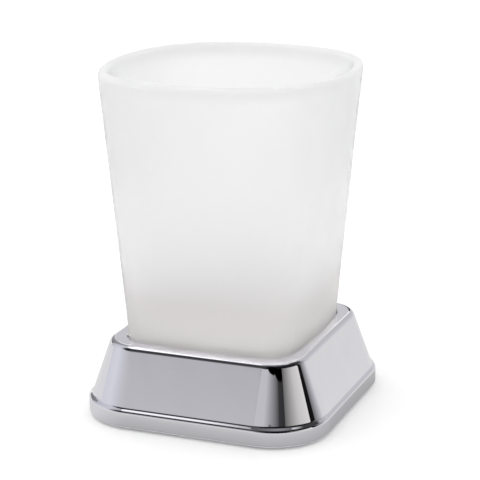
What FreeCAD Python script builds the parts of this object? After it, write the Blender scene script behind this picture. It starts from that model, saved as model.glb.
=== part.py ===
import FreeCAD, Part
import math
import os

from FreeCAD import Vector

# Bathroom tumbler: a frosted glass cup that lifts out of a chromed base.
# Millimetres, +Z up, origin on the resting surface at the centre of the base.

# Glass cup, from a square foot to a soft-round mouth
GLASS_HEIGHT = 89.2
GLASS_FOOT_WIDTH = 51.2
GLASS_FOOT_SIDE_RADIUS = 330.0
GLASS_FOOT_CORNER = 5.5
GLASS_MOUTH_OVERHANG = 0.18
GLASS_MOUTH_SIDE_RADIUS = 50.0
GLASS_MOUTH_CORNER = 25.0
GLASS_LIP_WALL = 3.2
GLASS_FOOT_WALL = 4.2
GLASS_FLOOR = 6.5
GLASS_FLOOR_CORNER = 7.0
GLASS_FLOOR_ROUND = 4.0
GLASS_HEEL_ROUND = 2.0
GLASS_PUNT_DIAMETER = 36.0
GLASS_PUNT_DEPTH = 0.8
SECTION_SHARES = (0, 0.25, 0.5, 0.75, 1)

# Chromed housing, from the socket outwards
SOCKET_DEPTH = 9.0
SOCKET_GAP = 0.3
SOCKET_EDGE_ROUND = 0.5
LAND_RIM = 3.6
TOP_CORNER = 10.4
TOP_ROUND = 2.0
TOP_WALL = 2.5
TAPER_HEIGHT = 17.1
TAPER_SPREAD = 6.2
TAPER_FOOT_CORNER = 17.4
TAPER_FOOT_ROUND = 1.1
SHOULDER_WIDTH = 1.0
SHOULDER_RISE = 0.9
SHOULDER_ROUND = 1.1
PLINTH_HEIGHT = 5.2
PLINTH_CORNER = 17.8
PLINTH_FOOT_ROUND = 1.1
PLINTH_RIM = 2.0
HOUSING_WALL = 2.4
BOSS_DIAMETER = 6.0
BOSS_HEIGHT = 9.0
BOSS_SETBACK = 3.9
BOSS_WEB = 1.6

# Plastic liner between glass and housing
LINER_GAP = 0.4
LINER_WALL = 1.5
LINER_FLOOR = 1.6

# Bottom plate with its standing ring
PLATE_THICKNESS = 2.0
PLATE_RECESS = 0.4
PLATE_GAP = 0.2
RING_INSET = 3.0
RING_WALL = 1.8
RING_CORNER = 8.0

# Countersunk screws
SCREW_COUNT = 4
SCREW_DIAMETER = 2.6
SCREW_HEAD_DIAMETER = 5.2
SCREW_LENGTH = 9.5
SCREW_TIP = 1.2
SCREW_GAP = 0.05
SCREW_HOLE_GAP = 0.15
SCREW_END_ROOM = 0.8
RECESS_LENGTH = 2.8
RECESS_WIDTH = 0.8
RECESS_DEPTH = 0.9

# Rubber feet
FOOT_DIAMETER = 10.0
FOOT_PROUD = 0.5
FOOT_POCKET = 0.7
FOOT_POCKET_GAP = 0.15
FOOT_INSET = 11.3
FOOT_EDGE_ROUND = 0.4
FOOT_PLACES = {
    "foot_front_left": (-1, -1),
    "foot_front_right": (1, -1),
    "foot_back_left": (-1, 1),
    "foot_back_right": (1, 1),
}

# One overrun serves all cuts, and one tolerance finds edges by their level
OVERRUN = 1.0
LEVEL_TOLERANCE = 0.001

# Levels above the resting surface
PLINTH_BOTTOM = FOOT_PROUD
SHOULDER_LEVEL = PLINTH_BOTTOM + PLINTH_HEIGHT
TAPER_BOTTOM = SHOULDER_LEVEL + SHOULDER_RISE
LAND_LEVEL = TAPER_BOTTOM + TAPER_HEIGHT
CAVITY_TOP = LAND_LEVEL - TOP_WALL
GLASS_BOTTOM = LAND_LEVEL - SOCKET_DEPTH
GLASS_TOP = GLASS_BOTTOM + GLASS_HEIGHT
LINER_BOTTOM = GLASS_BOTTOM - LINER_FLOOR
PLATE_BOTTOM = PLINTH_BOTTOM + PLATE_RECESS
PLATE_TOP = PLATE_BOTTOM + PLATE_THICKNESS
FOOT_TOP = PLATE_BOTTOM + FOOT_POCKET

# The glass leans out until its mouth, before the lip is rounded, overhangs the base's edge
BASE_REACH = SOCKET_GAP + LAND_RIM + TAPER_SPREAD + SHOULDER_WIDTH
GLASS_SLOPE = (BASE_REACH + GLASS_MOUTH_OVERHANG) / (GLASS_HEIGHT - SOCKET_DEPTH)
GLASS_MOUTH_WIDTH = GLASS_FOOT_WIDTH + 2 * GLASS_SLOPE * GLASS_HEIGHT

# The lip is a full round set square to the lean of the wall
GLASS_LEAN = math.atan(GLASS_SLOPE)
LIP_RADIUS = GLASS_LIP_WALL / 2
LIP_LEVEL = GLASS_TOP - LIP_RADIUS
LIP_START = LIP_LEVEL - LIP_RADIUS * math.sin(GLASS_LEAN)


def soft_square_arcs(section):
    """Centre, radius and two end angles of each arc of a square with bowed sides and rounded corners."""
    width, side_radius, corner_radius = section
    side_centre = width / 2 - side_radius
    reach = side_radius - corner_radius
    corner_centre = (side_centre + math.sqrt(2 * reach ** 2 - side_centre ** 2)) / 2
    turn = math.atan2(corner_centre, corner_centre - side_centre)
    arcs = []
    for quarter in range(4):
        spin = quarter * math.pi / 2
        side = Vector(side_centre * math.cos(spin), side_centre * math.sin(spin), 0)
        arcs.append((side, side_radius, spin - turn, spin + turn))
        diagonal = spin + math.pi / 4
        corner = Vector(math.cos(diagonal), math.sin(diagonal), 0) * (corner_centre * math.sqrt(2))
        arcs.append((corner, corner_radius, spin + turn, spin + math.pi / 2 - turn))
    return arcs


def arc_edge(centre, radius, first, last, z):
    """Level arc about a centre, from its first to its last angle."""
    points = []
    for angle in (first, (first + last) / 2, last):
        points.append(centre + Vector(radius * math.cos(angle), radius * math.sin(angle), z))
    return Part.Arc(*points).toShape()


def soft_square(section, z):
    """Closed outline with four bowed sides and four rounded corners, tangent all round."""
    return Part.Wire([arc_edge(*arc, z) for arc in soft_square_arcs(section)])


def rounding(spine, level, radius, low, high):
    """Faces of a rounding whose circle runs along a spine section, from its low to its high angle."""
    faces = []
    for centre, spine_radius, first, last in soft_square_arcs(spine):
        outward = Vector(math.cos(first), math.sin(first), 0)
        points = []
        for angle in (low, (low + high) / 2, high):
            out = spine_radius + radius * math.cos(angle)
            points.append(centre + outward * out + Vector(0, 0, level + radius * math.sin(angle)))
        profile = Part.Arc(*points).toShape()
        faces.append(profile.revolve(centre, Vector(0, 0, 1), math.degrees(last - first)))
    return faces


def round_square(width, corner_radius, z):
    """Closed outline with four straight sides and four rounded corners."""
    half = width / 2
    corner_centre = half - corner_radius
    edges = []
    for quarter in range(4):
        spin = quarter * math.pi / 2
        side = Part.LineSegment(Vector(half, -corner_centre, z), Vector(half, corner_centre, z)).toShape()
        side.rotate(Vector(0, 0, 0), Vector(0, 0, 1), math.degrees(spin))
        edges.append(side)
        diagonal = spin + math.pi / 4
        corner = Vector(math.cos(diagonal), math.sin(diagonal), 0) * (corner_centre * math.sqrt(2))
        edges.append(arc_edge(corner, corner_radius, spin, spin + math.pi / 2, z))
    return Part.Wire(edges)


def between(low, high, share):
    """Section part of the way from low to high: widths, corners and the bow of the sides change evenly."""
    width = low[0] + (high[0] - low[0]) * share
    bow = 1 / low[1] + (1 / high[1] - 1 / low[1]) * share
    corner = low[2] + (high[2] - low[2]) * share
    return width, 1 / bow, corner


def grown(section, gap):
    """Section parallel to the given one, larger by gap all round."""
    return section[0] + 2 * gap, section[1] + gap, section[2] + gap


def glass_section(z):
    """Outside section of the glass at a level, also used below and above it."""
    foot = (GLASS_FOOT_WIDTH, GLASS_FOOT_SIDE_RADIUS, GLASS_FOOT_CORNER)
    mouth = (GLASS_MOUTH_WIDTH, GLASS_MOUTH_SIDE_RADIUS, GLASS_MOUTH_CORNER)
    return between(foot, mouth, (z - GLASS_BOTTOM) / GLASS_HEIGHT)


def section_wires(low, high, z_low, z_high):
    """Outlines that change evenly from one section to another."""
    wires = []
    for share in SECTION_SHARES:
        wires.append(soft_square(between(low, high, share), z_low + (z_high - z_low) * share))
    return wires


def lofted(low, high, z_low, z_high):
    """Solid that changes evenly from one section to another."""
    return Part.makeLoft(section_wires(low, high, z_low, z_high), True, True)


def wall(low, high, z_low, z_high):
    """Faces of an open wall that changes evenly from one section to another."""
    return Part.makeLoft(section_wires(low, high, z_low, z_high), False, True).Faces


def prism(wire, height):
    """Solid pushed straight up from a level outline."""
    return Part.Face(wire).extrude(Vector(0, 0, height))


def level_edges(shape, z):
    """Edges that lie flat at a level."""
    found = []
    for edge in shape.Edges:
        box = edge.BoundBox
        if abs(box.ZMin - z) < LEVEL_TOLERANCE and abs(box.ZMax - z) < LEVEL_TOLERANCE:
            found.append(edge)
    return found


def spun(shape, step):
    """Copy of a shape turned about the Z axis to another screw's place."""
    copy = shape.copy()
    copy.rotate(Vector(0, 0, 0), Vector(0, 0, 1), step * 360 / SCREW_COUNT)
    return copy


# Outline of the base, worked out from the glass that it holds
SOCKET_SECTION = grown(glass_section(LAND_LEVEL), SOCKET_GAP)
TOP_WIDTH = SOCKET_SECTION[0] + 2 * LAND_RIM
TAPER_FOOT_WIDTH = TOP_WIDTH + 2 * TAPER_SPREAD
PLINTH_WIDTH = TAPER_FOOT_WIDTH + 2 * SHOULDER_WIDTH
CAVITY_WIDTH = TAPER_FOOT_WIDTH - 2 * HOUSING_WALL
CAVITY_CORNER = TAPER_FOOT_CORNER - HOUSING_WALL
PLATE_OPENING_WIDTH = PLINTH_WIDTH - 2 * PLINTH_RIM
PLATE_OPENING_CORNER = PLINTH_CORNER - PLINTH_RIM
PLATE_WIDTH = PLATE_OPENING_WIDTH - 2 * PLATE_GAP
SCREW_OFFSET = CAVITY_WIDTH / 2 - BOSS_SETBACK
FOOT_OFFSET = PLATE_WIDTH / 2 - FOOT_INSET


def glass_outside_faces(lean):
    """Bottom, rounded heel and leaning wall of the glass, up to the lip."""
    heel_level = GLASS_BOTTOM + GLASS_HEEL_ROUND
    wall_start = heel_level - GLASS_HEEL_ROUND * math.sin(lean)
    heel = grown(glass_section(wall_start), -GLASS_HEEL_ROUND * math.cos(lean))
    faces = [Part.Face(soft_square(heel, GLASS_BOTTOM))]
    faces += rounding(heel, heel_level, GLASS_HEEL_ROUND, -math.pi / 2, -lean)
    faces += wall(glass_section(wall_start), glass_section(LIP_START), wall_start, LIP_START)
    return faces


def glass_inside_faces(lean, lip_spine):
    """Floor, rounded inside corner and inside wall of the glass, up to the lip."""
    floor_level = GLASS_BOTTOM + GLASS_FLOOR
    round_level = floor_level + GLASS_FLOOR_ROUND
    wall_start = round_level - GLASS_FLOOR_ROUND * math.sin(lean)
    width, side_radius, _ = grown(glass_section(wall_start), -GLASS_FOOT_WALL)
    start = (width, side_radius, GLASS_FLOOR_CORNER)
    floor = grown(start, -GLASS_FLOOR_ROUND * math.cos(lean))
    faces = [Part.Face(soft_square(floor, floor_level))]
    faces += rounding(floor, round_level, GLASS_FLOOR_ROUND, -math.pi / 2, -lean)
    end = grown(lip_spine, -LIP_RADIUS * math.cos(lean))
    faces += wall(start, end, wall_start, LIP_LEVEL + LIP_RADIUS * math.sin(lean))
    return faces


def glass_tumbler():
    """Cup with a thick floor, a shallow dished punt under it and a full round lip."""
    lip_spine = grown(glass_section(LIP_START), -LIP_RADIUS * math.cos(GLASS_LEAN))
    faces = glass_outside_faces(GLASS_LEAN)
    faces += rounding(lip_spine, LIP_LEVEL, LIP_RADIUS, -GLASS_LEAN, math.pi - GLASS_LEAN)
    faces += glass_inside_faces(GLASS_LEAN, lip_spine)
    skin = Part.Shell(faces)
    skin.sewShape()
    cup = Part.Solid(skin)
    if cup.Volume < 0:
        cup.reverse()
    dish_radius = (GLASS_PUNT_DIAMETER ** 2 / 4 + GLASS_PUNT_DEPTH ** 2) / (2 * GLASS_PUNT_DEPTH)
    dish_level = GLASS_BOTTOM + GLASS_PUNT_DEPTH - dish_radius
    return cup.cut(Part.makeSphere(dish_radius, Vector(0, 0, dish_level)))


def housing_outside():
    """Plinth, sloped shoulder and tapered body in one, with a rounding along every level edge."""
    outlines = [
        round_square(PLINTH_WIDTH, PLINTH_CORNER, PLINTH_BOTTOM),
        round_square(PLINTH_WIDTH, PLINTH_CORNER, SHOULDER_LEVEL),
        round_square(TAPER_FOOT_WIDTH, TAPER_FOOT_CORNER, TAPER_BOTTOM),
        round_square(TOP_WIDTH, TOP_CORNER, LAND_LEVEL),
    ]
    body = Part.makeLoft(outlines, True, True)
    roundings = {
        PLINTH_BOTTOM: PLINTH_FOOT_ROUND,
        SHOULDER_LEVEL: SHOULDER_ROUND,
        TAPER_BOTTOM: TAPER_FOOT_ROUND,
        LAND_LEVEL: TOP_ROUND,
    }
    for level, radius in roundings.items():
        body = body.makeFillet(radius, level_edges(body, level))
    return body


def housing_cavity():
    """Space inside the housing: the plate's recess, then a straight and a tapered stretch."""
    recess = prism(round_square(PLATE_OPENING_WIDTH, PLATE_OPENING_CORNER, PLINTH_BOTTOM - OVERRUN),
                   PLATE_TOP - PLINTH_BOTTOM + OVERRUN)
    straight = prism(round_square(CAVITY_WIDTH, CAVITY_CORNER, PLATE_TOP), TAPER_BOTTOM - PLATE_TOP)
    share = (CAVITY_TOP - TAPER_BOTTOM) / TAPER_HEIGHT
    top_width = TAPER_FOOT_WIDTH + (TOP_WIDTH - TAPER_FOOT_WIDTH) * share - 2 * HOUSING_WALL
    top_corner = TAPER_FOOT_CORNER + (TOP_CORNER - TAPER_FOOT_CORNER) * share - HOUSING_WALL
    tapered = Part.makeLoft([round_square(CAVITY_WIDTH, CAVITY_CORNER, TAPER_BOTTOM),
                             round_square(top_width, top_corner, CAVITY_TOP)], True, True)
    return recess.fuse([straight, tapered])


def screw_boss():
    """Boss with a web to the side wall, on the +X side."""
    boss = Part.makeCylinder(BOSS_DIAMETER / 2, BOSS_HEIGHT, Vector(SCREW_OFFSET, 0, PLATE_TOP))
    web_corner = Vector(SCREW_OFFSET, -BOSS_WEB / 2, PLATE_TOP)
    web = Part.makeBox(BOSS_SETBACK + HOUSING_WALL, BOSS_WEB, BOSS_HEIGHT, web_corner)
    return boss.fuse(web)


def screw_pilot():
    """Hole for the screw's shank in the boss on the +X side."""
    radius = SCREW_DIAMETER / 2 + SCREW_GAP
    depth = SCREW_LENGTH - PLATE_THICKNESS + SCREW_END_ROOM
    return Part.makeCylinder(radius, depth + OVERRUN, Vector(SCREW_OFFSET, 0, PLATE_TOP - OVERRUN))


def base_housing():
    """Chromed shell with its socket, bosses and pilot holes."""
    outside = housing_outside()
    shell = outside.cut(housing_cavity())
    bosses = [spun(screw_boss(), step).common(outside) for step in range(SCREW_COUNT)]
    shell = shell.fuse(bosses)
    shell = shell.cut([spun(screw_pilot(), step) for step in range(SCREW_COUNT)])
    socket = prism(soft_square(SOCKET_SECTION, CAVITY_TOP - OVERRUN), TOP_WALL + 2 * OVERRUN)
    shell = shell.cut(socket)
    reach = SOCKET_SECTION[0] / 2 + LEVEL_TOLERANCE
    edge = [e for e in level_edges(shell, LAND_LEVEL) if max(e.BoundBox.XMax, -e.BoundBox.XMin) < reach]
    return shell.makeFillet(SOCKET_EDGE_ROUND, edge)


def socket_liner():
    """Thin cup that follows the glass at a small gap, from its floor up to the underside of the land."""
    outer_gap = LINER_GAP + LINER_WALL
    under = glass_section(LINER_BOTTOM)
    floor = glass_section(GLASS_BOTTOM)
    top = glass_section(CAVITY_TOP)
    cup = lofted(grown(under, outer_gap), grown(top, outer_gap), LINER_BOTTOM, CAVITY_TOP)
    inside = lofted(grown(floor, LINER_GAP), grown(top, LINER_GAP), GLASS_BOTTOM, CAVITY_TOP)
    return cup.cut(inside)


def turned(corners):
    """Solid of revolution about a screw's axis on the +X side, from (radius, level) corners."""
    points = [Vector(SCREW_OFFSET + radius, 0, level) for radius, level in corners]
    outline = Part.makePolygon(points + points[:1])
    return Part.Face(outline).revolve(Vector(SCREW_OFFSET, 0, 0), Vector(0, 0, 1), 360)


def screw_solid():
    """Countersunk screw with a blunt tip."""
    head = SCREW_HEAD_DIAMETER / 2
    shank = SCREW_DIAMETER / 2
    end = PLATE_BOTTOM + SCREW_LENGTH
    return turned([(0, PLATE_BOTTOM), (head, PLATE_BOTTOM), (shank, PLATE_BOTTOM + head - shank),
                   (shank, end - SCREW_TIP), (shank / 2, end), (0, end)])


def screw_hole():
    """Countersunk hole through the plate."""
    head = SCREW_HEAD_DIAMETER / 2 + SCREW_HOLE_GAP
    shank = SCREW_DIAMETER / 2 + SCREW_HOLE_GAP
    end = PLATE_TOP + OVERRUN
    return turned([(0, PLATE_BOTTOM), (head, PLATE_BOTTOM), (shank, PLATE_BOTTOM + head - shank),
                   (shank, end), (0, end)])


def plate_ring():
    """Standing ring that carries the floor of the liner."""
    width = GLASS_FOOT_WIDTH - 2 * RING_INSET
    height = LINER_BOTTOM - PLATE_TOP
    ring = prism(round_square(width, RING_CORNER, PLATE_TOP), height)
    return ring.cut(prism(round_square(width - 2 * RING_WALL, RING_CORNER - RING_WALL, PLATE_TOP), height))


def bottom_plate():
    """Plate in the plinth's recess, with its ring, pockets for the feet and screw holes."""
    corner = PLATE_OPENING_CORNER - PLATE_GAP
    plate = prism(round_square(PLATE_WIDTH, corner, PLATE_BOTTOM), PLATE_THICKNESS)
    plate = plate.fuse(plate_ring())
    holes = [spun(screw_hole(), step) for step in range(SCREW_COUNT)]
    pockets = []
    for across, along in FOOT_PLACES.values():
        place = Vector(across * FOOT_OFFSET, along * FOOT_OFFSET, PLATE_BOTTOM - OVERRUN)
        pockets.append(Part.makeCylinder(FOOT_DIAMETER / 2 + FOOT_POCKET_GAP, FOOT_POCKET + OVERRUN, place))
    return plate.cut(holes + pockets)


def plate_screws():
    """Four equal screws with a cross recess in each head."""
    screw = screw_solid()
    for length, width in ((RECESS_LENGTH, RECESS_WIDTH), (RECESS_WIDTH, RECESS_LENGTH)):
        corner = Vector(SCREW_OFFSET - length / 2, -width / 2, PLATE_BOTTOM - OVERRUN)
        screw = screw.cut(Part.makeBox(length, width, RECESS_DEPTH + OVERRUN, corner))
    return Part.Compound([spun(screw, step) for step in range(SCREW_COUNT)])


def rubber_foot(across, along):
    """Round pad with an eased lower edge, seated in its pocket of the plate."""
    place = Vector(across * FOOT_OFFSET, along * FOOT_OFFSET, 0)
    foot = Part.makeCylinder(FOOT_DIAMETER / 2, FOOT_TOP, place)
    return foot.makeFillet(FOOT_EDGE_ROUND, level_edges(foot, 0))


def main():
    """Build every piece and write one file for each."""
    pieces = {
        "glass_tumbler": glass_tumbler(),
        "base_housing": base_housing(),
        "socket_liner": socket_liner(),
        "bottom_plate": bottom_plate(),
        "plate_screws": plate_screws(),
    }
    for name, (across, along) in FOOT_PLACES.items():
        pieces[name] = rubber_foot(across, along)
    os.makedirs("parts", exist_ok=True)
    for name, shape in pieces.items():
        shape.exportStep("parts/" + name + ".step")
        print(name, "solids", len(shape.Solids), "valid", shape.isValid(), "volume", round(shape.Volume))


main()
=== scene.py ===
import math

import bpy
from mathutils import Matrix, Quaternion, Vector


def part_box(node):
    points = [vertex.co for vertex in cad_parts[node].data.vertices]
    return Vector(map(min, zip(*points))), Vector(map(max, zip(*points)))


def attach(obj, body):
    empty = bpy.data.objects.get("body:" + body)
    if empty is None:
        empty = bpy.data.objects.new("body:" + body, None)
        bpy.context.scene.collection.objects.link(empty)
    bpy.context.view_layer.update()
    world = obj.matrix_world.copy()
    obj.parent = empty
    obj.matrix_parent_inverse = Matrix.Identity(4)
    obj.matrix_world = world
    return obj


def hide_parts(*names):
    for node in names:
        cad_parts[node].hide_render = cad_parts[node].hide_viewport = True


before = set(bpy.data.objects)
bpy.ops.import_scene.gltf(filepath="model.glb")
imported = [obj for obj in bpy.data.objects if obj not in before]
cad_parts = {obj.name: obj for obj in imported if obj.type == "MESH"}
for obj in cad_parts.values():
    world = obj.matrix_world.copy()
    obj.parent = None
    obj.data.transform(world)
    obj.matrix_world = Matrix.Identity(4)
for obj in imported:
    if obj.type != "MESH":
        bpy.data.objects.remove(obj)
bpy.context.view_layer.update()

# Bathroom tumbler: a frosted glass cup that stands in a chromed base. Metres, +Z up.
MM = 0.001

# Glass cup
GLASS_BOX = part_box("glass_tumbler")
GLASS_BOTTOM = GLASS_BOX[0].z
GLASS_TOP = GLASS_BOX[1].z
GLASS_HEIGHT = GLASS_TOP - GLASS_BOTTOM
GLASS_FOOT = (51.2 * MM, 330 * MM, 5.5 * MM)
GLASS_MOUTH = (76.29 * MM, 50 * MM, 25 * MM)
GLASS_LEAN = math.atan2((GLASS_MOUTH[0] - GLASS_FOOT[0]) / 2, GLASS_HEIGHT)
LIP_RADIUS = 1.6 * MM
LIP_LEVEL = GLASS_TOP - LIP_RADIUS
HEEL_ROUND = 2 * MM
FOOT_WALL = 4.2 * MM
FLOOR_THICKNESS = 6.5 * MM
FLOOR_CORNER = 7 * MM
FLOOR_ROUND = 4 * MM
PUNT_RADIUS = 18 * MM
PUNT_DEPTH = 0.8 * MM

# Frosted glass: how clear it is at some levels, the painted shade on its floor and lip, and how rough it is
# etched
FOOT_MILK_LEVELS = (24 * MM, 42 * MM)
# Levels of the lip's milkier glass, also used for its painted shade
LIP_MILK_AND_SHADE_LEVELS = (98.5 * MM, 102 * MM)
FOOT_CLARITY = 0.5
WALL_CLARITY = 0.97
LIP_CLARITY = 0.4
# Painted shade: the glass is darkened below the floor band, standing in for the shade round its foot
FLOOR_SHADE_LEVELS = (36 * MM, 43 * MM)
FLOOR_PAINTED_SHADE = (0.955, 0.943, 0.932)
# Painted shade: the lip is darkened a little
LIP_PAINTED_SHADE = (0.95, 0.95, 0.95)
ETCH_LEVELS = (44 * MM, 78 * MM)
ETCH_AT_FOOT = 0.15
GLASS_ROUGHNESS = (0.67, 0.56)
GLASS_COLOURS = ((0.978, 0.978, 0.981), (0.995, 0.995, 0.999))
GLASS_CLOUD = (0.1, 4)
GLASS_GRAIN = (3, 4)
GLASS_GRAIN_DEPTH = 0.004 * MM
GLASS_IOR = 1.46

# Chromed base
BASE_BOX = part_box("base_housing")
PLINTH_WIDTH = BASE_BOX[1].x - BASE_BOX[0].x
PLINTH_BOTTOM = BASE_BOX[0].z
PLINTH_CORNER = 17.8 * MM
PLINTH_FOOT_ROUND = 1.1 * MM
PLINTH_RIM = 2 * MM
SHOULDER_LEVEL = PLINTH_BOTTOM + 5.2 * MM
SHOULDER_WIDTH = 1 * MM
SHOULDER_ROUND = 1.1 * MM
TAPER_BOTTOM = SHOULDER_LEVEL + 0.9 * MM
TAPER_FOOT_WIDTH = PLINTH_WIDTH - 2 * SHOULDER_WIDTH
TAPER_FOOT_CORNER = 17.4 * MM
TAPER_FOOT_ROUND = 1.1 * MM
LAND_LEVEL = BASE_BOX[1].z
LAND_RIM = 3.6 * MM
TOP_CORNER = 10.4 * MM
TOP_ROUND = 2 * MM
TOP_WALL = 2.5 * MM
CAVITY_TOP = LAND_LEVEL - TOP_WALL
SOCKET_GAP = 0.3 * MM
SOCKET_EDGE_ROUND = 0.5 * MM
HOUSING_WALL = 2.4 * MM
PLATE_TOP = PLINTH_BOTTOM + 2.4 * MM
CAVITY_WIDTH = TAPER_FOOT_WIDTH - 2 * HOUSING_WALL
BOSS_RADIUS = 3 * MM
BOSS_HEIGHT = 9 * MM
BOSS_SETBACK = 3.9 * MM
BOSS_WEB = 1.6 * MM
BOSS_BITE = 0.8 * MM
PILOT_RADIUS = 1.35 * MM
PILOT_DEPTH = 8.3 * MM
SCREW_OFFSET = CAVITY_WIDTH / 2 - BOSS_SETBACK

# Mesh density: shares of a length where it has points, and numbers of steps
CURVED_SIDE_STEPS = 20
CURVED_SIDE_SHARES = tuple(step / CURVED_SIDE_STEPS for step in range(CURVED_SIDE_STEPS))
FLAT_SIDE_SHARES = (0, 0.015, 0.1, 0.2, 0.3, 0.4, 0.5, 0.6, 0.7, 0.8, 0.9, 0.985)
CORNER_STEPS = 36
WALL_STEPS = 48
HEEL_STEPS = 10
LIP_STEPS = 20
FLOOR_STEPS = 14
PUNT_SHARES = (0.08, 0.2, 0.35, 0.5, 0.65, 0.8, 0.92, 1)
HEEL_SHARES = (0.1, 0.4, 0.7, 0.95)
FLOOR_SHARES = (0.05, 0.2, 0.4, 0.6, 0.8, 0.93)
EDGE_SUPPORT = 0.06 * MM
ROUND_STEPS = 14
CIRCLE_STEPS = 32
SHARP_ANGLE = math.radians(35)

# Other finishes: two colours, roughness, noises as (cells per millimetre, detail), and depths of relief
NOISE_SPAN = (0.3, 0.7)
CHROME_COLOURS = ((0.87, 0.863, 0.90), (0.89, 0.883, 0.92))
CHROME_ROUGHNESS = (0.01, 0.02)
CHROME_VEIL = (0.15, 3)
CHROME_RIPPLE = (0.06, 1)
CHROME_RIPPLE_DEPTH = 0.003 * MM
LINER_COLOURS = ((0.7, 0.69, 0.68), (0.74, 0.73, 0.72))
LINER_GRAIN_DEPTH = 0.01 * MM
PLATE_COLOURS = ((0.1, 0.1, 0.11), (0.14, 0.14, 0.15))
PLATE_GRAIN_DEPTH = 0.03 * MM
PLASTIC_ROUGHNESS = (0.45, 0.6)
PLASTIC_TONES = (0.3, 3)
PLASTIC_SHEEN = (1.5, 2)
PLASTIC_GRAIN = (4, 2)
SCREW_COLOURS = ((0.52, 0.52, 0.54), (0.7, 0.7, 0.7))
SCREW_ROUGHNESS = (0.42, 0.28)
SCREW_SPOTS = (1.2, 4)
SCREW_GRAIN = (6, 2)
SCREW_GRAIN_DEPTH = 0.01 * MM
RUBBER_COLOURS = ((0.15, 0.15, 0.15), (0.24, 0.24, 0.235))
RUBBER_ROUGHNESS = (0.7, 0.85)
RUBBER_BLOOM = (0.6, 4)
RUBBER_GRAIN = (3, 3)
RUBBER_GRAIN_DEPTH = 0.02 * MM

# Camera, found by fitting the tumbler's outline to the photograph
PHOTO_SIZE = 480
CAMERA_AZIMUTH = math.radians(22.114)
CAMERA_ELEVATION = math.radians(15.962)
CAMERA_ROLL = math.radians(-0.631)
CAMERA_DISTANCE = 536.1 * MM
CAMERA_TARGET = Vector((0, 0, 52.5 * MM))
CAMERA_FOCAL_PIXELS = 1780.8
CAMERA_CENTRE_PIXELS = (233.55, 232.22)
SENSOR_WIDTH_MM = 36

# Floor and lamp; the floor glows a little, and more where the camera sees it
WHITE = (1, 1, 1, 1)
STUDIO_REACH = 4
STUDIO_TONE = 0.84
STUDIO_ROUGHNESS = 0.9
STUDIO_GLOW = 0.02
STUDIO_GLOW_SEEN = 0.2
LAMP_SIZE = 1.1
LAMP_POWER = 2
LAMP_PLACE = Vector((-0.25, -0.1, 1.1))

# Studio cards, seen in reflections only; the level is the brightness of shade 1
CARD_DISTANCE = 10
CARD_STEPS = 36
CARD_LEVEL = 0.755
GREY = (1, 0.99, 1.03)
BLUE = (0.985, 0.99, 1.07)
CREAM = (1, 0.98, 0.955)

# Columns of the cards: degrees from the front towards the right, with (elevation, shade) pairs
FRONT_SHADES = (
    (-6, 0.72), (15, 0.72), (16.9, 0.66), (20, 0.26), (26, 0.12), (33, 0.07), (41, 0.06), (60, 0.07),
)
LEFT_COLUMN = (-66, (
    (-6, 0.97), (17, 0.96), (26, 0.8), (33, 0.5), (39, 0.1), (47, 0.02), (53, 0.02), (58, 0.25),
))
FRONT_LEFT_COLUMN = (-44, (
    (-6, 0.84), (14, 0.79), (18, 0.66), (22, 0.3), (26, 0.06), (34, 0.01), (46, 0.02), (60, 0.2),
))
FRONT_COLUMN = (-30, FRONT_SHADES)
CORNER_COLUMN = (16, ((-6, 0.02), (16.35, 0.02), (16.45, 0.48), (18.1, 0.47)))
CORNER_END_COLUMN = (26, ((-6, 0.02), (16, 0.02), (16.1, 0.28), (17.83, 0.28)))
CORNER_TOP_COLUMN = (16, ((18.1, 0), (61, 0.01)))
CORNER_TOP_END_COLUMN = (26, ((17.83, 0), (61, 0.01)))
RIGHT_COLUMN = (76, ((-6, 0.82), (22, 0.8)))
BACK_EDGE_COLUMN = (132, ((25, 0.5), (34, 0.4), (40, 0.05), (61, 0.08)))
OVERHEAD_COLUMN = (-62, ((58, 1.2), (62, 1.9), (89, 1.8)))
OVERHEAD_END_COLUMN = (-51.5, ((59, 1.2), (62, 1.3), (89, 0.9)))

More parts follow.
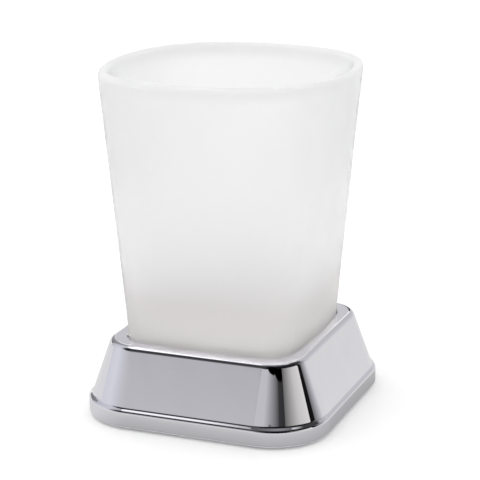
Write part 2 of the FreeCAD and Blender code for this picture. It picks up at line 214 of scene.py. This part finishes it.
# Cards, each with its colour and the columns at its two ends
CARDS = {
    "left_back": (GREY, (-146, ((3, 0.5), (14, 0.45), (57, 0.5))), (-113, ((8, 0.2), (14, 0.2), (57, 0.6)))),
    "far_left_card": (BLUE, (-113, ((-6, 0.7), (57, 0.7))), (-88, ((-6, 0.9), (57, 0.85)))),
    "left_card": (
        BLUE,
        (-88, ((-6, 0.92), (20, 0.92), (58, 0.8))),
        (-66, ((-6, 0.97), (20, 0.96), (58, 0.5))),
    ),
    "left_fade": (BLUE, LEFT_COLUMN, FRONT_LEFT_COLUMN),
    "front_left_card": (GREY, FRONT_LEFT_COLUMN, FRONT_COLUMN),
    "front_card": (GREY, FRONT_COLUMN, (-14, FRONT_SHADES)),
    "front_panel": (
        GREY,
        (-14, ((-6, 0.6), (15, 0.5), (15.1, 0.78), (17.8, 0.76))),
        (4, ((-6, 0.02), (16.15, 0.02), (16.25, 0.77), (18.28, 0.75))),
    ),
    "front_fade": (GREY, (4, ((-6, 0.02), (16.15, 0.02), (16.25, 0.76), (18.28, 0.74))), CORNER_COLUMN),
    "corner_fade": (GREY, CORNER_COLUMN, CORNER_END_COLUMN),
    "corner_end": (GREY, CORNER_END_COLUMN, (34, ((-6, 0.03), (15.5, 0.03), (15.6, 0.1), (17.25, 0.1)))),
    "front_gap": (
        GREY,
        (34, ((-6, 0.06), (17.2, 0.06), (17.3, 0), (22, 0))),
        (46, ((-6, 0.04), (16.4, 0.04), (16.5, 0), (22, 0))),
    ),
    "right_card": (CREAM, (46, ((-6, 0.2), (21, 0.18))), RIGHT_COLUMN),
    "right_end": (CREAM, RIGHT_COLUMN, (98, ((-6, 1), (23, 1)))),
    "right_gap": (GREY, (98, ((-6, 0.01), (24, 0.01))), (109, ((-6, 0.01), (24, 0.01)))),
    "right_fade": (
        GREY,
        (109, ((-6, 0.2), (10, 0.2), (25, 0.1))),
        (132, ((-6, 0.95), (10, 0.9), (25, 0.5))),
    ),
    "front_ceiling": (
        GREY,
        (-14, ((17.8, 0.3), (23, 0.08), (61, 0.05))),
        (4, ((18.28, 0.01), (23, 0.01), (61, 0.03))),
    ),
    "corner_ceiling": (GREY, (4, ((18.28, 0), (61, 0.01))), CORNER_TOP_COLUMN),
    "corner_ceiling_fade": (GREY, CORNER_TOP_COLUMN, CORNER_TOP_END_COLUMN),
    "corner_ceiling_end": (GREY, CORNER_TOP_END_COLUMN, (34, ((17.25, 0), (61, 0.01)))),
    "right_ceiling": (GREY, (34, ((21, 0.01), (61, 0.01))), (109, ((24, 0.02), (61, 0.03)))),
    "back_ceiling": (GREY, (109, ((25, 0.1), (32, 0.1), (40, 0.07), (61, 0.05))), BACK_EDGE_COLUMN),
    "back_edge": (GREY, BACK_EDGE_COLUMN, (160, ((25, 0.9), (48, 0.8), (53, 0.1), (61, 0.1)))),
    "back_fade": (
        GREY,
        (132, ((-6, 0.94), (3, 0.95), (14, 0.85), (25, 0.72))),
        (160, ((-6, 0.92), (3, 0.93), (14, 0.8), (25, 0.72))),
    ),
    "back_card": (
        GREY,
        (160, ((-6, 0.92), (3, 0.93), (14, 0.8), (25, 0.72), (50, 0.78))),
        (189, ((-6, 0.9), (3, 0.9), (14, 0.75), (25, 0.72), (50, 0.78))),
    ),
    "back_gap": (GREY, (189, ((2, 0.06), (18.6, 0.06))), (196.6, ((2, 0.06), (18.6, 0.06)))),
    "back_left_card": (GREY, (196.8, ((10, 0.84), (24, 0.84))), (212, ((10, 0.78), (24, 0.78)))),
    "overhead_left": (GREY, (-130, ((57, 1.2), (61, 1.9), (89, 1.8))), OVERHEAD_COLUMN),
    "overhead_edge": (GREY, OVERHEAD_COLUMN, OVERHEAD_END_COLUMN),
    "overhead_end": (GREY, OVERHEAD_END_COLUMN, (-48, ((61, 0.15), (64, 0.2), (89, 0.3)))),
    "overhead_front": (
        GREY,
        (-48, ((61, 0.12), (75, 0.2), (89, 0.3))),
        (112, ((61, 0.05), (75, 0.25), (89, 0.5))),
    ),
    "overhead_back": (GREY, (112, ((61, 0.05), (70, 0.8), (89, 0.9))), (160, ((61, 0.2), (66, 1), (89, 1)))),
}

# Shade on the floor round the base, as reflections show it: distance out, and share of the full depth
CONTACT_FALL = (
    (0.5 * MM, 1), (4 * MM, 0.8), (9 * MM, 0.6), (14 * MM, 0.22), (25 * MM, 0),
    (200 * MM, 0.1), (3500 * MM, 0.12),
)
CONTACT_LEFT = 0.1
CONTACT_RIGHT = 0.47
CONTACT_SIDE = math.radians(60)
CONTACT_TURN = 1.2
CONTACT_LEVEL = 0.1 * MM


def arc_outline(arcs, side_shares):
    """Points and outward directions along a side arc and a corner arc per quarter, equal in number."""
    outline = []
    corner_shares = [step / CORNER_STEPS for step in range(CORNER_STEPS)]
    for number, (centre, radius, first, last) in enumerate(arcs):
        for share in (corner_shares if number % 2 else side_shares):
            angle = first + (last - first) * share
            outward = Vector((math.cos(angle), math.sin(angle), 0))
            outline.append((centre + outward * radius, outward))
    return outline


def soft_square(section, side_shares=CURVED_SIDE_SHARES):
    """Outline with four bowed sides and four rounded corners."""
    width, side_radius, corner_radius = section
    side_centre = width / 2 - side_radius
    reach = side_radius - corner_radius
    corner_centre = (side_centre + math.sqrt(2 * reach ** 2 - side_centre ** 2)) / 2
    turn = math.atan2(corner_centre, corner_centre - side_centre)
    arcs = []
    for quarter in range(4):
        spin = quarter * math.pi / 2
        side = Vector((math.cos(spin), math.sin(spin), 0)) * side_centre
        diagonal = spin + math.pi / 4
        corner = Vector((math.cos(diagonal), math.sin(diagonal), 0)) * (corner_centre * math.sqrt(2))
        arcs.append((side, side_radius, spin - turn, spin + turn))
        arcs.append((corner, corner_radius, spin + turn, spin + math.pi / 2 - turn))
    return arc_outline(arcs, side_shares)


def round_square(width, corner_radius):
    """Outline with four straight sides and four rounded corners."""
    half = width / 2
    corner_centre = half - corner_radius
    outline = []
    for quarter in range(4):
        spin = quarter * math.pi / 2
        outward = Vector((math.cos(spin), math.sin(spin), 0))
        along = Vector((-outward.y, outward.x, 0))
        for share in FLAT_SIDE_SHARES:
            outline.append((outward * half + along * (corner_centre * (2 * share - 1)), outward))
        centre = (outward + along) * corner_centre
        for step in range(CORNER_STEPS):
            angle = spin + math.pi / 2 * step / CORNER_STEPS
            turned = Vector((math.cos(angle), math.sin(angle), 0))
            outline.append((centre + turned * corner_radius, turned))
    return outline


def ring(outline, z, offset=0):
    """Points of an outline at a level, moved outwards by an offset."""
    return [point + outward * offset + Vector((0, 0, z)) for point, outward in outline]


def rounding(outline, level, radius, start, low, high, steps):
    """Rings of a rounding that leaves an outline at the angle start, from its low to its high angle."""
    rings = []
    for step in range(steps + 1):
        angle = low + (high - low) * step / steps
        offset = radius * (math.cos(angle) - math.cos(start))
        rings.append(ring(outline, level + radius * math.sin(angle), offset))
    return rings


def mixed_rings(first, last, shares):
    """Rings part of the way from one ring to another."""
    return [[a.lerp(b, share) for a, b in zip(first, last)] for share in shares]


def stack_faces(rings, loop, start):
    """Points and faces over a stack of rings, closed on itself or by a middle point in each end ring."""
    count = len(rings[0])
    points = [point for one in rings for point in one]
    faces = []
    pairs = len(rings) if loop else len(rings) - 1
    for row in range(pairs):
        low = start + row * count
        high = start + (row + 1) % len(rings) * count
        for place in range(count):
            after = (place + 1) % count
            faces.append((low + place, low + after, high + after, high + place))
    if not loop:
        for end, turned in ((0, True), ((len(rings) - 1) * count, False)):
            points.append(sum(points[end:end + count], Vector()) / count)
            middle = start + len(points) - 1
            for place in range(count):
                edge = [start + end + place, start + end + (place + 1) % count]
                faces.append((*(reversed(edge) if turned else edge), middle))
    return points, faces


def new_object(name, points, faces):
    """Mesh object in the scene."""
    mesh = bpy.data.meshes.new(name)
    mesh.from_pydata(points, [], faces)
    made = bpy.data.objects.new(name, mesh)
    bpy.context.scene.collection.objects.link(made)
    return made


def skin(name, stacks):
    """Mesh object over some stacks of rings, each given with whether it closes on itself."""
    points = []
    faces = []
    for rings, loop in stacks:
        more_points, more_faces = stack_faces(rings, loop, len(points))
        points += more_points
        faces += more_faces
    piece = new_object(name, points, faces)
    piece.data.shade_smooth()
    piece.data.set_sharp_from_angle(angle=SHARP_ANGLE)
    return piece


def between(low, high, share):
    """Section part of the way from low to high: widths, corners and the bow of the sides change evenly."""
    bow = 1 / low[1] + (1 / high[1] - 1 / low[1]) * share
    return low[0] + (high[0] - low[0]) * share, 1 / bow, low[2] + (high[2] - low[2]) * share


def grown(section, gap):
    """Section parallel to the given one, larger by gap all round."""
    return section[0] + 2 * gap, section[1] + gap, section[2] + gap


def glass_section(z):
    """Outside section of the glass at a level."""
    return between(GLASS_FOOT, GLASS_MOUTH, (z - GLASS_BOTTOM) / GLASS_HEIGHT)


def punt_rings(heel_outline, heel_offset):
    """Rings under the glass, from the middle of the shallow dish out to the heel."""
    dish_radius = (PUNT_RADIUS ** 2 + PUNT_DEPTH ** 2) / (2 * PUNT_DEPTH)
    dish_centre = GLASS_BOTTOM + PUNT_DEPTH - dish_radius
    heel = ring(heel_outline, 0, heel_offset)
    rings = []
    for share in PUNT_SHARES:
        radius = PUNT_RADIUS * share
        level = Vector((0, 0, dish_centre + math.sqrt(dish_radius ** 2 - radius ** 2)))
        rings.append([point.normalized() * radius + level for point in heel])
    level = Vector((0, 0, GLASS_BOTTOM))
    return rings + mixed_rings(rings[-1], [point + level for point in heel], HEEL_SHARES)


def glass_outside_rings():
    """Rings of the underside, the rounded heel and the leaning wall, up to the lip."""
    heel_level = GLASS_BOTTOM + HEEL_ROUND
    wall_start = heel_level - HEEL_ROUND * math.sin(GLASS_LEAN)
    wall_end = LIP_LEVEL - LIP_RADIUS * math.sin(GLASS_LEAN)
    heel = soft_square(glass_section(wall_start))
    rings = punt_rings(heel, -HEEL_ROUND * math.cos(GLASS_LEAN))
    rings += rounding(heel, heel_level, HEEL_ROUND, GLASS_LEAN, -math.pi / 2, -GLASS_LEAN, HEEL_STEPS)
    for step in range(1, WALL_STEPS):
        z = wall_start + (wall_end - wall_start) * step / WALL_STEPS
        rings.append(ring(soft_square(glass_section(z)), z))
    lip = soft_square(glass_section(wall_end))
    lip_end = math.pi - GLASS_LEAN
    return rings + rounding(lip, LIP_LEVEL, LIP_RADIUS, GLASS_LEAN, -GLASS_LEAN, lip_end, LIP_STEPS)


def glass_inside_rings():
    """Rings of the inside wall, its rounded corner and the floor, from the lip down to the middle."""
    lip_start = LIP_LEVEL - LIP_RADIUS * math.sin(GLASS_LEAN)
    wall_top = LIP_LEVEL + LIP_RADIUS * math.sin(GLASS_LEAN)
    top = grown(glass_section(lip_start), -2 * LIP_RADIUS * math.cos(GLASS_LEAN))
    floor_level = GLASS_BOTTOM + FLOOR_THICKNESS
    round_level = floor_level + FLOOR_ROUND
    wall_foot = round_level - FLOOR_ROUND * math.sin(GLASS_LEAN)
    width, side_radius, _ = grown(glass_section(wall_foot), -FOOT_WALL)
    foot = (width, side_radius, FLOOR_CORNER)
    rings = []
    for step in range(1, WALL_STEPS):
        share = step / WALL_STEPS
        rings.append(ring(soft_square(between(top, foot, share)), wall_top + (wall_foot - wall_top) * share))
    floor = soft_square(foot)
    rings += rounding(floor, round_level, FLOOR_ROUND, GLASS_LEAN, -GLASS_LEAN, -math.pi / 2, FLOOR_STEPS)
    middle = [Vector((0, 0, floor_level))] * len(rings[-1])
    return rings + mixed_rings(rings[-1], middle, FLOOR_SHARES)


def frosted_cup():
    """The whole glass as one closed skin."""
    return skin("frosted_cup", [(glass_outside_rings() + glass_inside_rings(), False)])


def flattened(step, outward):
    """Direction of a step across an outline, without what it moves along it."""
    along = Vector((-outward.y, outward.x, 0))
    return (step - along * step.dot(along)).normalized()


def rounded_corner(before, corner, after, outward, radius):
    """Points of a rounding in a profile's corner, with a support point just beyond each end."""
    back = flattened(before - corner, outward)
    ahead = flattened(after - corner, outward)
    half = back.angle(ahead) / 2
    reach = radius / math.tan(half)
    centre = corner + (back + ahead).normalized() * (radius / math.sin(half))
    start = (corner + back * reach - centre).normalized()
    end = (corner + ahead * reach - centre).normalized()
    points = [corner + back * (reach + EDGE_SUPPORT)]
    for step in range(ROUND_STEPS + 1):
        points.append(centre + start.slerp(end, step / ROUND_STEPS) * radius)
    points.append(corner + ahead * (reach + EDGE_SUPPORT))
    return points


def profile_rings(levels):
    """Rings round a closed profile, given as outlines with their levels and the radius of each corner."""
    columns = []
    for place in range(len(levels[0][0])):
        corners = [outline[place][0] + Vector((0, 0, z)) for outline, z, _ in levels]
        column = []
        for number, (outline, _, radius) in enumerate(levels):
            corner = corners[number]
            if radius:
                after = corners[(number + 1) % len(levels)]
                column += rounded_corner(corners[number - 1], corner, after, outline[place][1], radius)
            else:
                column.append(corner)
        columns.append(column)
    return [list(one) for one in zip(*columns)]


def circle(middle, radius, z):
    """Ring of points round an upright axis."""
    points = []
    for step in range(CIRCLE_STEPS):
        angle = 2 * math.pi * step / CIRCLE_STEPS
        points.append(middle + Vector((radius * math.cos(angle), radius * math.sin(angle), z)))
    return points


def screw_boss(outward):
    """Boss with its blind hole, from the roof of the hole round to the top."""
    middle = outward * SCREW_OFFSET
    return [
        circle(middle, PILOT_RADIUS, PLATE_TOP + PILOT_DEPTH),
        circle(middle, PILOT_RADIUS, PLATE_TOP),
        circle(middle, BOSS_RADIUS, PLATE_TOP),
        circle(middle, BOSS_RADIUS, PLATE_TOP + BOSS_HEIGHT),
    ]


def boss_web(outward, top_reach):
    """Web between a boss and the side wall, a little way into both."""
    aside = Vector((-outward.y, outward.x, 0)) * (BOSS_WEB / 2)
    near = outward * (SCREW_OFFSET + BOSS_RADIUS - BOSS_BITE)
    rings = []
    for z, reach in ((PLATE_TOP, CAVITY_WIDTH / 2), (PLATE_TOP + BOSS_HEIGHT, top_reach)):
        far = outward * (reach + BOSS_BITE)
        level = Vector((0, 0, z))
        rings.append([near - aside + level, far - aside + level, far + aside + level, near + aside + level])
    return rings


def base_levels(top_width, roof_width, roof_corner):
    """Closed profile of the base: outlines with their level and the radius of the corner there."""
    socket = soft_square(grown(glass_section(LAND_LEVEL), SOCKET_GAP), FLAT_SIDE_SHARES)
    plinth = round_square(PLINTH_WIDTH, PLINTH_CORNER)
    opening = round_square(PLINTH_WIDTH - 2 * PLINTH_RIM, PLINTH_CORNER - PLINTH_RIM)
    cavity = round_square(CAVITY_WIDTH, TAPER_FOOT_CORNER - HOUSING_WALL)
    return [
        (socket, CAVITY_TOP, 0),
        (socket, LAND_LEVEL, SOCKET_EDGE_ROUND),
        (round_square(top_width - 2 * TOP_ROUND, TOP_CORNER - TOP_ROUND), LAND_LEVEL, 0),
        (round_square(top_width, TOP_CORNER), LAND_LEVEL, TOP_ROUND),
        (round_square(TAPER_FOOT_WIDTH, TAPER_FOOT_CORNER), TAPER_BOTTOM, TAPER_FOOT_ROUND),
        (plinth, SHOULDER_LEVEL, SHOULDER_ROUND),
        (plinth, PLINTH_BOTTOM, PLINTH_FOOT_ROUND),
        (opening, PLINTH_BOTTOM, 0),
        (opening, PLATE_TOP, 0),
        (cavity, PLATE_TOP, 0),
        (cavity, TAPER_BOTTOM, 0),
        (round_square(roof_width, roof_corner), CAVITY_TOP, 0),
    ]


def chromed_base():
    """The base: a closed skin from the socket, over the outside and back up the hollow, and its bosses."""
    top_width = glass_section(LAND_LEVEL)[0] + 2 * (SOCKET_GAP + LAND_RIM)
    narrowing = (TAPER_FOOT_WIDTH - top_width) / (LAND_LEVEL - TAPER_BOTTOM)
    roof_width = CAVITY_WIDTH - narrowing * (CAVITY_TOP - TAPER_BOTTOM)
    share = (CAVITY_TOP - TAPER_BOTTOM) / (LAND_LEVEL - TAPER_BOTTOM)
    roof_corner = TAPER_FOOT_CORNER + (TOP_CORNER - TAPER_FOOT_CORNER) * share - HOUSING_WALL
    web_reach = (CAVITY_WIDTH - narrowing * (PLATE_TOP + BOSS_HEIGHT - TAPER_BOTTOM)) / 2
    stacks = [(profile_rings(base_levels(top_width, roof_width, roof_corner)), True)]
    for quarter in range(4):
        spin = quarter * math.pi / 2
        outward = Vector((math.cos(spin), math.sin(spin), 0))
        stacks.append((screw_boss(outward), False))
        stacks.append((boss_web(outward, web_reach), False))
    return skin("chromed_base", stacks)


def new_material(name):
    """Material with its node tree and its Principled shader."""
    material = bpy.data.materials.new(name)
    material.use_nodes = True
    tree = material.node_tree
    return material, tree, tree.nodes["Principled BSDF"]


def add_noise(tree, scale, detail):
    """Noise in the piece's own coordinates, with the scale in cells per millimetre."""
    place = tree.nodes.new("ShaderNodeTexCoord")
    noise = tree.nodes.new("ShaderNodeTexNoise")
    noise.inputs["Scale"].default_value = scale / MM
    noise.inputs["Detail"].default_value = detail
    tree.links.new(place.outputs["Object"], noise.inputs["Vector"])
    return noise.outputs["Fac"]


def add_range(tree, value, low, high):
    """A noise value spread over a range."""
    spread = tree.nodes.new("ShaderNodeMapRange")
    spread.inputs["From Min"].default_value = NOISE_SPAN[0]
    spread.inputs["From Max"].default_value = NOISE_SPAN[1]
    spread.inputs["To Min"].default_value = low
    spread.inputs["To Max"].default_value = high
    tree.links.new(value, spread.inputs["Value"])
    return spread.outputs["Result"]


def add_colours(tree, value, low, high):
    """A noise value as a colour between two colours."""
    ramp = tree.nodes.new("ShaderNodeValToRGB")
    for element, position, colour in zip(ramp.color_ramp.elements, NOISE_SPAN, (low, high)):
        element.position = position
        element.color = (*colour, 1)
    tree.links.new(value, ramp.inputs["Fac"])
    return ramp.outputs["Color"]


def add_bump(tree, shader, height, depth):
    """Small relief from a height value, with its depth in metres."""
    bump = tree.nodes.new("ShaderNodeBump")
    bump.inputs["Strength"].default_value = 1
    bump.inputs["Distance"].default_value = depth
    tree.links.new(height, bump.inputs["Height"])
    tree.links.new(bump.outputs["Normal"], shader.inputs["Normal"])


def add_height_range(tree, levels, low, high):
    """A value that changes smoothly between two levels of the piece."""
    place = tree.nodes.new("ShaderNodeTexCoord")
    parts = tree.nodes.new("ShaderNodeSeparateXYZ")
    spread = tree.nodes.new("ShaderNodeMapRange")
    spread.interpolation_type = "SMOOTHSTEP"
    spread.inputs["From Min"].default_value = levels[0]
    spread.inputs["From Max"].default_value = levels[1]
    spread.inputs["To Min"].default_value = low
    spread.inputs["To Max"].default_value = high
    tree.links.new(place.outputs["Object"], parts.inputs["Vector"])
    tree.links.new(parts.outputs["Z"], spread.inputs["Value"])
    return spread.outputs["Result"]


def add_painted_shade(tree, colour, share, shade_colour):
    """A colour darkened by a painted shade colour, as far as a share says."""
    mix = tree.nodes.new("ShaderNodeMixRGB")
    mix.blend_type = "MULTIPLY"
    mix.inputs["Color2"].default_value = (*shade_colour, 1)
    tree.links.new(share, mix.inputs["Fac"])
    tree.links.new(colour, mix.inputs["Color1"])
    return mix.outputs["Color"]


def frosted_glass():
    """Acid-etched glass: faintly cloudy, matt all over, milkier at its thick foot and its lip, and greyer
    there with painted shade.
    """
    material, tree, shader = new_material("frosted_glass")
    cloud = add_noise(tree, *GLASS_CLOUD)
    colour = add_colours(tree, cloud, *GLASS_COLOURS)
    # Painted shade darkens the glass low down, below the floor band
    colour = add_painted_shade(tree, colour, add_height_range(tree, FLOOR_SHADE_LEVELS, 1, 0), FLOOR_PAINTED_SHADE)
    # Painted shade darkens the lip
    colour = add_painted_shade(tree, colour, add_height_range(tree, LIP_MILK_AND_SHADE_LEVELS, 0, 1), LIP_PAINTED_SHADE)
    tree.links.new(colour, shader.inputs["Base Color"])
    etch = tree.nodes.new("ShaderNodeMath")
    tree.links.new(add_range(tree, cloud, *GLASS_ROUGHNESS), etch.inputs[0])
    tree.links.new(add_height_range(tree, ETCH_LEVELS, ETCH_AT_FOOT, 0), etch.inputs[1])
    tree.links.new(etch.outputs["Value"], shader.inputs["Roughness"])
    clear = tree.nodes.new("ShaderNodeMath")
    clear.operation = "MINIMUM"
    tree.links.new(add_height_range(tree, FOOT_MILK_LEVELS, FOOT_CLARITY, WALL_CLARITY), clear.inputs[0])
    tree.links.new(add_height_range(tree, LIP_MILK_AND_SHADE_LEVELS, WALL_CLARITY, LIP_CLARITY), clear.inputs[1])
    tree.links.new(clear.outputs["Value"], shader.inputs["Transmission Weight"])
    shader.inputs["IOR"].default_value = GLASS_IOR
    add_bump(tree, shader, add_noise(tree, *GLASS_GRAIN), GLASS_GRAIN_DEPTH)
    return material


def chrome():
    """Mirror-bright plating with the faint ripple of the polished casting under it."""
    material, tree, shader = new_material("chrome")
    shader.inputs["Metallic"].default_value = 1
    veil = add_noise(tree, *CHROME_VEIL)
    tree.links.new(add_colours(tree, veil, *CHROME_COLOURS), shader.inputs["Base Color"])
    tree.links.new(add_range(tree, veil, *CHROME_ROUGHNESS), shader.inputs["Roughness"])
    add_bump(tree, shader, add_noise(tree, *CHROME_RIPPLE), CHROME_RIPPLE_DEPTH)
    return material


def moulded_plastic(name, colours, grain_depth):
    """Matt moulded plastic with a fine even grain."""
    material, tree, shader = new_material(name)
    tones = add_noise(tree, *PLASTIC_TONES)
    tree.links.new(add_colours(tree, tones, *colours), shader.inputs["Base Color"])
    sheen = add_noise(tree, *PLASTIC_SHEEN)
    tree.links.new(add_range(tree, sheen, *PLASTIC_ROUGHNESS), shader.inputs["Roughness"])
    add_bump(tree, shader, add_noise(tree, *PLASTIC_GRAIN), grain_depth)
    return material


def zinc_steel():
    """Zinc-plated steel with uneven, slightly dull plating."""
    material, tree, shader = new_material("screw_steel")
    shader.inputs["Metallic"].default_value = 1
    spots = add_noise(tree, *SCREW_SPOTS)
    tree.links.new(add_colours(tree, spots, *SCREW_COLOURS), shader.inputs["Base Color"])
    tree.links.new(add_range(tree, spots, *SCREW_ROUGHNESS), shader.inputs["Roughness"])
    add_bump(tree, shader, add_noise(tree, *SCREW_GRAIN), SCREW_GRAIN_DEPTH)
    return material


def foot_rubber():
    """Soft matt rubber with a little bloom."""
    material, tree, shader = new_material("foot_rubber")
    bloom = add_noise(tree, *RUBBER_BLOOM)
    tree.links.new(add_colours(tree, bloom, *RUBBER_COLOURS), shader.inputs["Base Color"])
    tree.links.new(add_range(tree, bloom, *RUBBER_ROUGHNESS), shader.inputs["Roughness"])
    add_bump(tree, shader, add_noise(tree, *RUBBER_GRAIN), RUBBER_GRAIN_DEPTH)
    return material


def dress(piece, material):
    """Give a piece one material all over."""
    piece.data.materials.clear()
    piece.data.materials.append(material)


def dress_pieces():
    """Build the glass and the base, and give every piece its finish."""
    cup = frosted_cup()
    dress(cup, frosted_glass())
    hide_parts("glass_tumbler")
    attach(cup, "tumbler")
    base = chromed_base()
    dress(base, chrome())
    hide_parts("base_housing")
    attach(base, "base")
    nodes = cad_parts
    dress(nodes["socket_liner"], moulded_plastic("liner_plastic", LINER_COLOURS, LINER_GRAIN_DEPTH))
    dress(nodes["bottom_plate"], moulded_plastic("plate_plastic", PLATE_COLOURS, PLATE_GRAIN_DEPTH))
    dress(nodes["plate_screws"], zinc_steel())
    rubber = foot_rubber()
    for name, node in nodes.items():
        if name.startswith("foot_"):
            dress(node, rubber)


def studio_floor():
    """Wide pale floor that keeps the object's shadow."""
    half = STUDIO_REACH
    corners = [(-half, -half, 0), (half, -half, 0), (half, half, 0), (-half, half, 0)]
    floor = new_object("floor", corners, [(0, 1, 2, 3)])
    material, tree, shader = new_material("floor")
    shader.inputs["Base Color"].default_value = (STUDIO_TONE, STUDIO_TONE, STUDIO_TONE, 1)
    shader.inputs["Roughness"].default_value = STUDIO_ROUGHNESS
    shader.inputs["Specular IOR Level"].default_value = 0
    shader.inputs["Emission Color"].default_value = WHITE
    path = tree.nodes.new("ShaderNodeLightPath")
    glow = tree.nodes.new("ShaderNodeMapRange")
    glow.inputs["To Min"].default_value = STUDIO_GLOW
    glow.inputs["To Max"].default_value = STUDIO_GLOW_SEEN
    tree.links.new(path.outputs["Is Camera Ray"], glow.inputs["Value"])
    tree.links.new(glow.outputs["Result"], shader.inputs["Emission Strength"])
    dress(floor, material)


def card_light():
    """Plain light in the colour that each point of a card carries."""
    material, tree, shader = new_material("studio_card")
    tree.nodes.remove(shader)
    light = tree.nodes.new("ShaderNodeEmission")
    shade = tree.nodes.new("ShaderNodeAttribute")
    shade.attribute_name = "shade"
    tree.links.new(shade.outputs["Color"], light.inputs["Color"])
    tree.links.new(light.outputs["Emission"], tree.nodes["Material Output"].inputs["Surface"])
    return material


def shaded_strip(name, columns, material):
    """Strip of light seen in reflections only: columns of points with their tones, joined side by side."""
    rows = len(columns[0])
    points = [point for column in columns for point, _ in column]
    faces = []
    for number in range(len(columns) - 1):
        for row in range(rows - 1):
            low = number * rows + row
            faces.append((low, low + rows, low + rows + 1, low + 1))
    strip = new_object(name, points, faces)
    shades = strip.data.attributes.new("shade", "FLOAT_COLOR", "POINT")
    tones = [tone for column in columns for _, tone in column]
    for place, tone in zip(shades.data, tones):
        place.color = (*tone, 1)
    dress(strip, material)
    for rays in ("camera", "diffuse", "transmission", "volume_scatter", "shadow"):
        setattr(strip, "visible_" + rays, False)


def card_column(azimuth, shades, colour):
    """Points up a card at an azimuth, with their tones, from (elevation, shade) pairs."""
    turn = math.radians(azimuth)
    column = []
    for elevation, shade in shades:
        lift = math.radians(elevation)
        level = Vector((math.sin(turn), -math.cos(turn), 0)) * math.cos(lift)
        tone = tuple(channel * shade * CARD_LEVEL for channel in colour)
        column.append(((level + Vector((0, 0, math.sin(lift)))) * CARD_DISTANCE, tone))
    return column


def studio_card(name, ends, colour, material):
    """Curved card between two columns, whose elevations and shades change evenly from end to end."""
    (first, first_shades), (last, last_shades) = ends
    columns = []
    for step in range(CARD_STEPS + 1):
        share = step / CARD_STEPS
        shades = []
        for (low, dark), (high, light) in zip(first_shades, last_shades):
            shades.append((low + (high - low) * share, dark + (light - dark) * share))
        columns.append(card_column(first + (last - first) * share, shades, colour))
    shaded_strip(name, columns, material)


def floor_card(material):
    """Shade on the floor round the base, as reflections show it, deeper on the right than on the left."""
    outline = round_square(PLINTH_WIDTH, PLINTH_CORNER)
    columns = []
    for point, outward in outline + outline[:1]:
        side = math.cos(math.atan2(outward.x, -outward.y) - CONTACT_SIDE)
        share = min(1, max(0, 0.5 + CONTACT_TURN * side))
        depth = CONTACT_LEFT + (CONTACT_RIGHT - CONTACT_LEFT) * share
        column = []
        for reach, left in CONTACT_FALL:
            tone = (1 - depth * left) * CARD_LEVEL
            column.append((point + outward * reach + Vector((0, 0, CONTACT_LEVEL)), (tone, tone, tone)))
        columns.append(column)
    shaded_strip("floor_card", columns, material)


def studio_cards():
    """Light and dark cards round the object that give the metal its stripes."""
    material = card_light()
    for name, (colour, *ends) in CARDS.items():
        studio_card(name, ends, colour, material)
    floor_card(material)


def softbox():
    """Large soft light overhead, a little to the left."""
    lamp = bpy.data.lights.new("softbox", "AREA")
    lamp.shape = "DISK"
    lamp.size = LAMP_SIZE
    lamp.energy = LAMP_POWER
    box = bpy.data.objects.new("softbox", lamp)
    box.location = LAMP_PLACE
    box.rotation_euler = (-LAMP_PLACE).to_track_quat("-Z", "Y").to_euler()
    box.visible_glossy = False
    bpy.context.scene.collection.objects.link(box)


def studio_world():
    """Soft white light from all round."""
    world = bpy.data.worlds.new("studio")
    world.use_nodes = True
    backdrop = world.node_tree.nodes["Background"]
    backdrop.inputs["Color"].default_value = WHITE
    backdrop.inputs["Strength"].default_value = 1
    bpy.context.scene.world = world


def photo_camera():
    """Camera at the photograph's place, with its lens and framing."""
    data = bpy.data.cameras.new("camera")
    data.sensor_width = SENSOR_WIDTH_MM
    data.lens = CAMERA_FOCAL_PIXELS / PHOTO_SIZE * SENSOR_WIDTH_MM
    data.shift_x = 0.5 - CAMERA_CENTRE_PIXELS[0] / PHOTO_SIZE
    data.shift_y = CAMERA_CENTRE_PIXELS[1] / PHOTO_SIZE - 0.5
    camera = bpy.data.objects.new("camera", data)
    level = Vector((math.sin(CAMERA_AZIMUTH), -math.cos(CAMERA_AZIMUTH), 0)) * math.cos(CAMERA_ELEVATION)
    back = level + Vector((0, 0, math.sin(CAMERA_ELEVATION)))
    camera.location = CAMERA_TARGET + back * CAMERA_DISTANCE
    camera.rotation_mode = "QUATERNION"
    camera.rotation_quaternion = (-back).to_track_quat("-Z", "Y") @ Quaternion((0, 0, 1), CAMERA_ROLL)
    bpy.context.scene.collection.objects.link(camera)
    bpy.context.scene.camera = camera


dress_pieces()
studio_floor()
studio_cards()
softbox()
studio_world()
photo_camera()
bpy.context.scene.view_settings.view_transform = "Standard"
